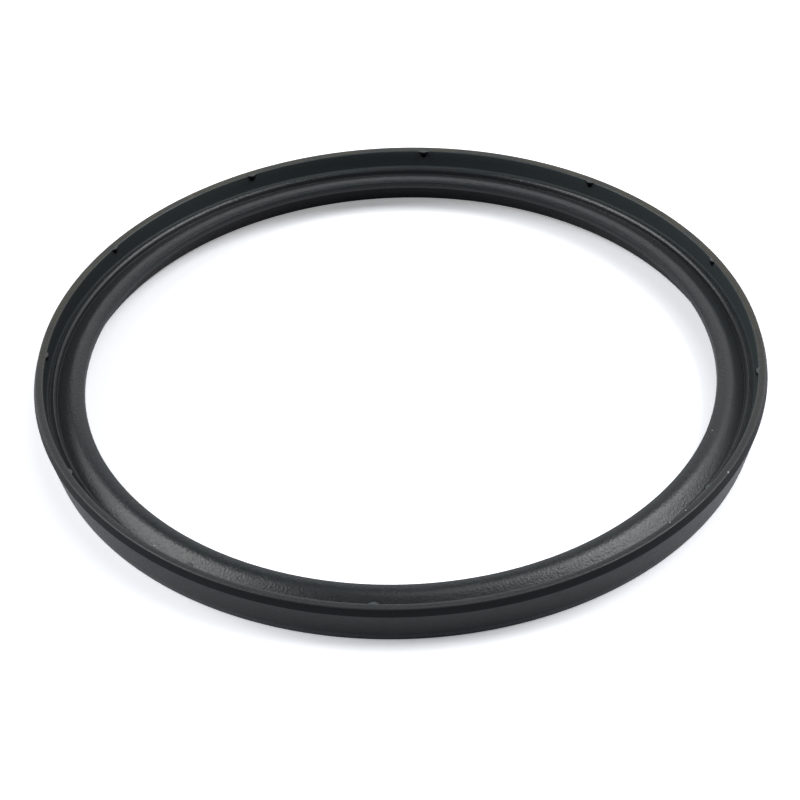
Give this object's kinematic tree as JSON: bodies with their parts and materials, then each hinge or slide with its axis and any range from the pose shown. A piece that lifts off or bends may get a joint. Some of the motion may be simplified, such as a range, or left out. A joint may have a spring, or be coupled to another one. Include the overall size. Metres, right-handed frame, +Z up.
{
  "type": "pipe coupling seal ring",
  "caption": "Moulded rubber profile ring that seals a charge-air hose coupling: flat foot, undercut inner lip, grooved top and a raised rim with small nubs.",
  "frame": {"origin": "centre of the ring at the plane of its flat foot", "axes": "+Z up along the ring's axis, towards the raised rim; a nub lies on +X and on +Y"},
  "size_m": [0.07, 0.07, 0.0045],
  "materials": {
    "rubber": "matt moulded"
  },
  "bodies": {
    "root": {"seal_ring": "rubber"}
  },
  "joints": []
}
